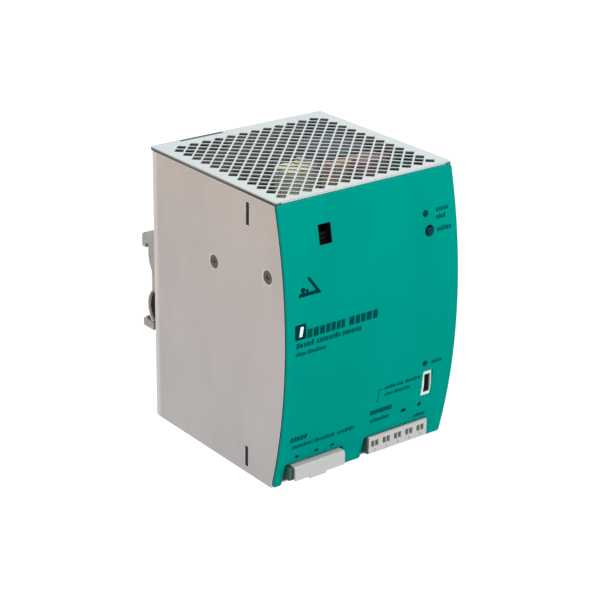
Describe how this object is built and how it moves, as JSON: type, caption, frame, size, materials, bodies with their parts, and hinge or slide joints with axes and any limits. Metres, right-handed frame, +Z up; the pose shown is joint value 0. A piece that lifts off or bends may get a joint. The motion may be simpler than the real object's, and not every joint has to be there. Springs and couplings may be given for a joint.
{
  "type": "din rail power supply",
  "caption": "Block power supply for a top-hat rail, with a curved front, perforated top and bottom, pull-off terminal plugs, and a sprung rail latch on the back.",
  "frame": {"origin": "bottom centre of the whole object's box, at the foot of the case", "axes": "+Z up the case, -Y out of the curved front, +Y towards the rail, +X to the right seen from the front"},
  "size_m": [0.09, 0.1049, 0.124],
  "materials": {
    "case_aluminium": "bare bent sheet, fine satin grain",
    "cover_metal": "pale satin coated sheet, punched",
    "front_plastic": "smooth moulded teal with printed marks",
    "terminal_plastic": "pale grey moulded nylon",
    "socket_plastic": "dark grey-green moulded nylon",
    "black_plastic": "black moulded plastic",
    "white_plastic": "white moulded plastic",
    "zinc_steel": "zinc plated steel",
    "spring_steel": "bright spring steel",
    "screw_steel": "dull zinc plated steel",
    "dark_steel": "blackened spring steel",
    "tinned_contact": "tinned brass",
    "board_green": "green solder mask with pads",
    "heatsink_aluminium": "extruded, satin",
    "component_black": "moulded epoxy",
    "capacitor_sleeve": "shrink sleeve",
    "ferrite": "sintered ferrite",
    "choke_core": "painted ring core",
    "copper_wire": "enamelled copper",
    "tape_yellow": "polyester winding tape",
    "bobbin_cream": "moulded bobbin",
    "film_orange": "dipped film capacitor",
    "film_red": "boxed film capacitor",
    "film_grey": "boxed film capacitor",
    "varistor_blue": "dipped disc",
    "fuse_glass": "glass tube",
    "lamp_clear": "diffused lens",
    "lamp_green": "diffused lens",
    "button_grey": "moulded plunger",
    "liner_clear": "thin insulating sheet"
  },
  "bodies": {
    "case": {"chassis": "case_aluminium", "top_cover": "cover_metal", "bottom_cover": "cover_metal", "front_panel": "front_plastic", "insulation_liner": "liner_clear", "cover_clips": "dark_steel", "cover_catch": "socket_plastic", "side_screws": "screw_steel", "board_screws": "screw_steel", "rail_bracket": "zinc_steel", "latch_springs": "spring_steel", "spring_buffers": "black_plastic", "spring_rivets": "zinc_steel", "bracket_screws": "screw_steel", "main_pcb": "board_green", "board_spacers": "zinc_steel", "heatsink": "heatsink_aluminium", "power_transistors": "component_black", "transistor_clip": "spring_steel", "bridge_rectifier": "component_black", "bulk_capacitors": "capacitor_sleeve", "output_capacitors": "capacitor_sleeve", "input_choke_core": "choke_core", "input_choke_winding": "copper_wire", "output_choke_core": "choke_core", "output_choke_winding": "copper_wire", "transformer_core": "ferrite", "transformer_bobbin": "bobbin_cream", "transformer_tape": "tape_yellow", "filter_capacitor_large": "film_orange", "filter_capacitor_small": "film_red", "filter_capacitor_tall": "film_grey", "varistor": "varistor_blue", "fuse": "fuse_glass", "fuse_clips": "tinned_contact", "terminal_pcb": "board_green", "board_connectors": "white_plastic", "control_pcb": "board_green", "control_bracket": "zinc_steel", "control_chips": "component_black", "overload_lamp": "lamp_clear", "output_lamp": "lamp_green", "reset_switch": "black_plastic", "reset_spring": "spring_steel", "selector_body": "black_plastic", "jumper_header": "white_plastic", "jumper_pins": "tinned_contact", "input_header": "socket_plastic", "input_pins": "tinned_contact", "output_header": "socket_plastic", "output_pins": "tinned_contact"},
    "latch": {"rail_latch": "zinc_steel"},
    "reset": {"reset_button": "button_grey"},
    "selector": {"selector_slider": "black_plastic"},
    "jumper": {"mode_jumper": "black_plastic"},
    "mains_plug": {"input_plug": "terminal_plastic", "input_clamps": "tinned_contact", "plug_levers": "black_plastic"},
    "load_plug": {"output_plug": "terminal_plastic", "output_clamps": "tinned_contact"}
  },
  "joints": [
    {"name": "latch_slide", "type": "slide", "parent": "case", "child": "latch", "axis": [0, 0, -1], "range_m": [0, 0.004], "stiffness_N_per_m": 800, "springref_m": -0.003, "deforming": ["latch_springs"]},
    {"name": "reset_press", "type": "slide", "parent": "case", "child": "reset", "axis": [0, 1, 0], "range_m": [0, 0.0012], "stiffness_N_per_m": 600, "springref_m": -0.0012, "deforming": ["reset_spring"]},
    {"name": "selector_slide", "type": "slide", "parent": "case", "child": "selector", "axis": [0, 0, 1], "range_m": [0, 0.0033]},
    {"name": "jumper_pull", "type": "slide", "parent": "case", "child": "jumper", "axis": [0, -1, 0], "range_m": [0, 0.006]},
    {"name": "input_plug_pull", "type": "slide", "parent": "case", "child": "mains_plug", "axis": [0, -1, 0], "range_m": [0, 0.014]},
    {"name": "output_plug_pull", "type": "slide", "parent": "case", "child": "load_plug", "axis": [0, -1, 0], "range_m": [0, 0.014]}
  ]
}
